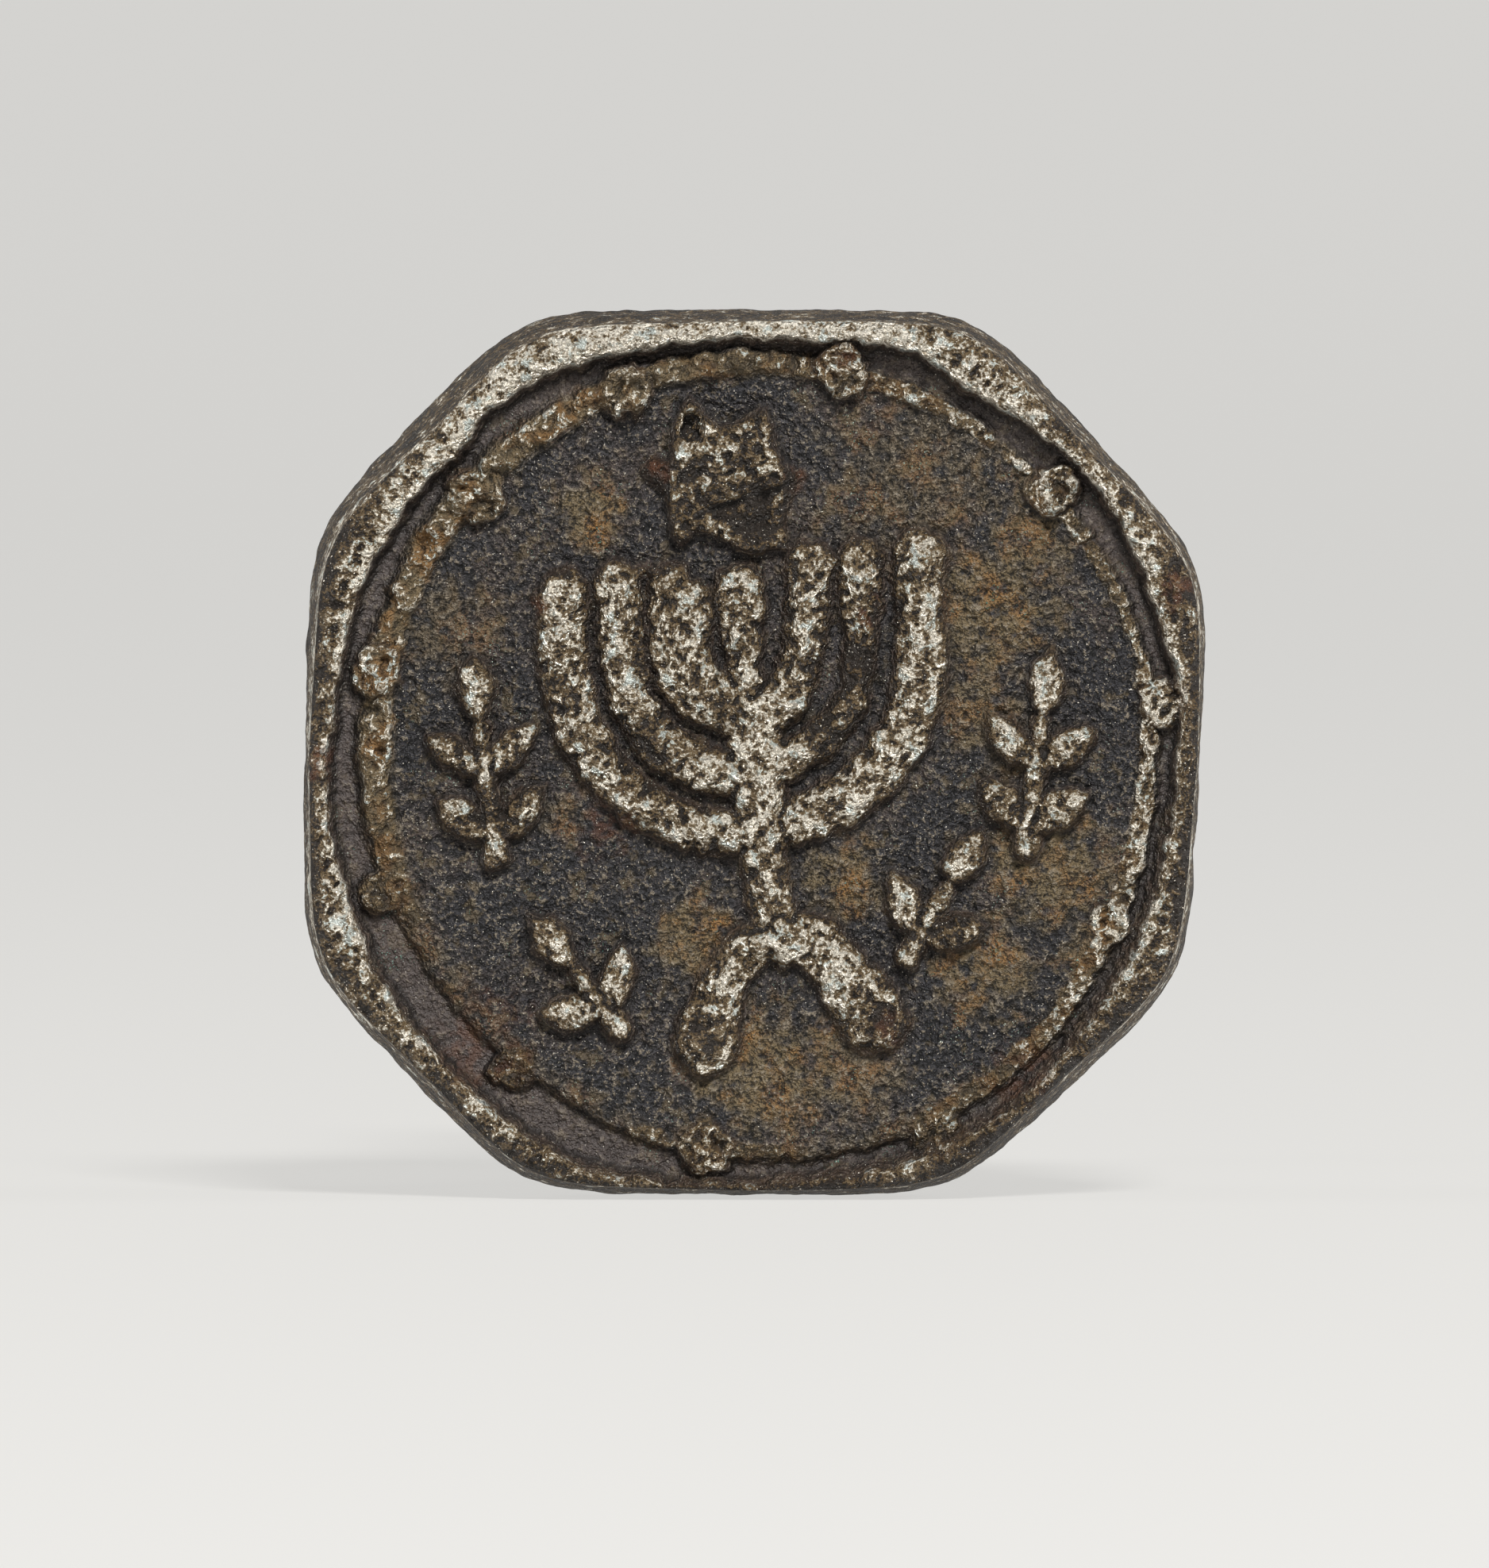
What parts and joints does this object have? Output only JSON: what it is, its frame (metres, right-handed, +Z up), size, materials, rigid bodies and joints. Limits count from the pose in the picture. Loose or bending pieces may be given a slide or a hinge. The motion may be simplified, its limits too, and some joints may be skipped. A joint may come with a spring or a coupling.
{
  "type": "seal ring",
  "caption": "Finger ring with an eight-sided cast seal in relief, a hoop that splays to carry the seal, and soldered joints.",
  "frame": {"origin": "middle of the finger bore", "axes": "+X along the finger bore, -Y out of the seal's face, +Z up as the ring stands on its edge with the seal's picture upright"},
  "size_m": [0.0204, 0.0228, 0.02],
  "materials": {
    "cast_bronze": "worn dark patina",
    "forged_bronze": "worn patina, brighter where it is handled",
    "solder": "dull and grey"
  },
  "bodies": {
    "root": {"seal_plate": "cast_bronze", "hoop": "forged_bronze", "bezel_solder": "solder", "seam_solder": "solder"}
  },
  "joints": []
}
